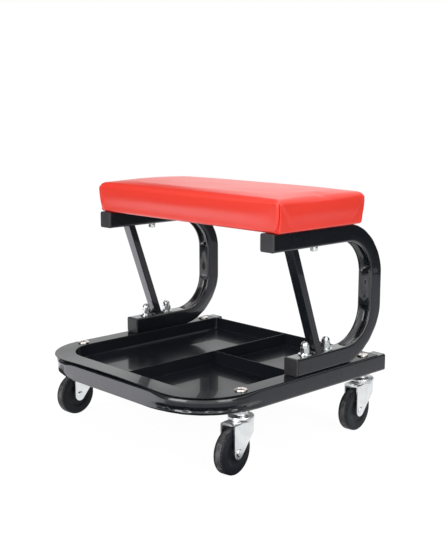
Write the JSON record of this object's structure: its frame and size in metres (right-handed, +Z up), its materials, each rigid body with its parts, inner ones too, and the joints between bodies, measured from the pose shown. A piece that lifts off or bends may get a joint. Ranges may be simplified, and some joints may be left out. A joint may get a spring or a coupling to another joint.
{
  "type": "rolling workshop seat with tool tray",
  "caption": "Low rolling workshop seat: padded vinyl seat on two C-shaped steel side frames over a divided tool tray, on swivel casters.",
  "frame": {"origin": "on the floor under the middle of the part's bounding box, which is also the middle of the base", "axes": "+Z up, +X to the sitter's right along the seat pad, -Y towards the open front of the side frames, +Y towards the rear bends"},
  "size_m": [0.3996, 0.382, 0.3686],
  "materials": {
    "black_paint": "gloss",
    "tray_gloss": "gloss",
    "cap_plastic": "satin",
    "red_vinyl": "satin",
    "foam": "matte",
    "plywood": "matte",
    "wheel_rubber": "matte",
    "bright_nickel": "polished",
    "ball_steel": "polished",
    "zinc": "bright zinc"
  },
  "bodies": {
    "base": {"acorn_nuts": "bright_nickel", "arm_bolt_spring_washers": "zinc", "arm_bolt_washers": "zinc", "arm_bolts": "zinc", "base_end_cap_left": "cap_plastic", "base_end_cap_right": "cap_plastic", "base_tube": "black_paint", "caster_screws": "zinc", "front_left_balls": "ball_steel", "front_left_kingpin": "zinc", "front_left_race": "zinc", "front_right_balls": "ball_steel", "front_right_kingpin": "zinc", "front_right_race": "zinc", "lower_arm_cap_left": "cap_plastic", "lower_arm_cap_right": "cap_plastic", "rear_left_balls": "ball_steel", "rear_left_kingpin": "zinc", "rear_left_race": "zinc", "rear_right_balls": "ball_steel", "rear_right_kingpin": "zinc", "rear_right_race": "zinc", "seat_board": "plywood", "seat_bolt_spring_washers": "zinc", "seat_bolt_washers": "zinc", "seat_bolts": "zinc", "seat_cover": "red_vinyl", "seat_foam": "foam", "seat_tee_nuts": "zinc", "side_frame_left": "black_paint", "side_frame_right": "black_paint", "strut_left": "black_paint", "strut_right": "black_paint", "tool_tray": "tray_gloss", "upper_arm_cap_left": "cap_plastic", "upper_arm_cap_right": "cap_plastic"},
    "swivel_front_left": {"front_left_fork": "zinc", "front_left_axle": "zinc", "front_left_bush": "ball_steel"},
    "roller_front_left": {"front_left_wheel": "wheel_rubber"},
    "swivel_front_right": {"front_right_fork": "zinc", "front_right_axle": "zinc", "front_right_bush": "ball_steel"},
    "roller_front_right": {"front_right_wheel": "wheel_rubber"},
    "swivel_rear_left": {"rear_left_fork": "zinc", "rear_left_axle": "zinc", "rear_left_bush": "ball_steel"},
    "roller_rear_left": {"rear_left_wheel": "wheel_rubber"},
    "swivel_rear_right": {"rear_right_fork": "zinc", "rear_right_axle": "zinc", "rear_right_bush": "ball_steel"},
    "roller_rear_right": {"rear_right_wheel": "wheel_rubber"}
  },
  "joints": [
    {"name": "front_left_swivel", "type": "hinge", "parent": "base", "child": "swivel_front_left", "pos_m": [-0.1784, -0.1056, 0.0724], "axis": [0, 0, 1], "continuous": true},
    {"name": "front_left_roll", "type": "hinge", "parent": "swivel_front_left", "child": "roller_front_left", "pos_m": [-0.17666, -0.12552, 0.03175], "axis": [0.9962, 0.0872, 0], "continuous": true},
    {"name": "front_right_swivel", "type": "hinge", "parent": "base", "child": "swivel_front_right", "pos_m": [0.1784, -0.1056, 0.0724], "axis": [0, 0, 1], "continuous": true},
    {"name": "front_right_roll", "type": "hinge", "parent": "swivel_front_right", "child": "roller_front_right", "pos_m": [0.18153, -0.12535, 0.03175], "axis": [0.9877, 0.1564, 0], "continuous": true},
    {"name": "rear_left_swivel", "type": "hinge", "parent": "base", "child": "swivel_rear_left", "pos_m": [-0.1784, 0.1534, 0.0724], "axis": [0, 0, 1], "continuous": true},
    {"name": "rear_left_roll", "type": "hinge", "parent": "swivel_rear_left", "child": "roller_rear_left", "pos_m": [-0.17596, 0.13355, 0.03175], "axis": [0.9925, 0.1219, 0], "continuous": true},
    {"name": "rear_right_swivel", "type": "hinge", "parent": "base", "child": "swivel_rear_right", "pos_m": [0.1784, 0.1534, 0.0724], "axis": [0, 0, 1], "continuous": true},
    {"name": "rear_right_roll", "type": "hinge", "parent": "swivel_rear_right", "child": "roller_rear_right", "pos_m": [0.18032, 0.13349, 0.03175], "axis": [0.9954, 0.0958, 0], "continuous": true}
  ]
}
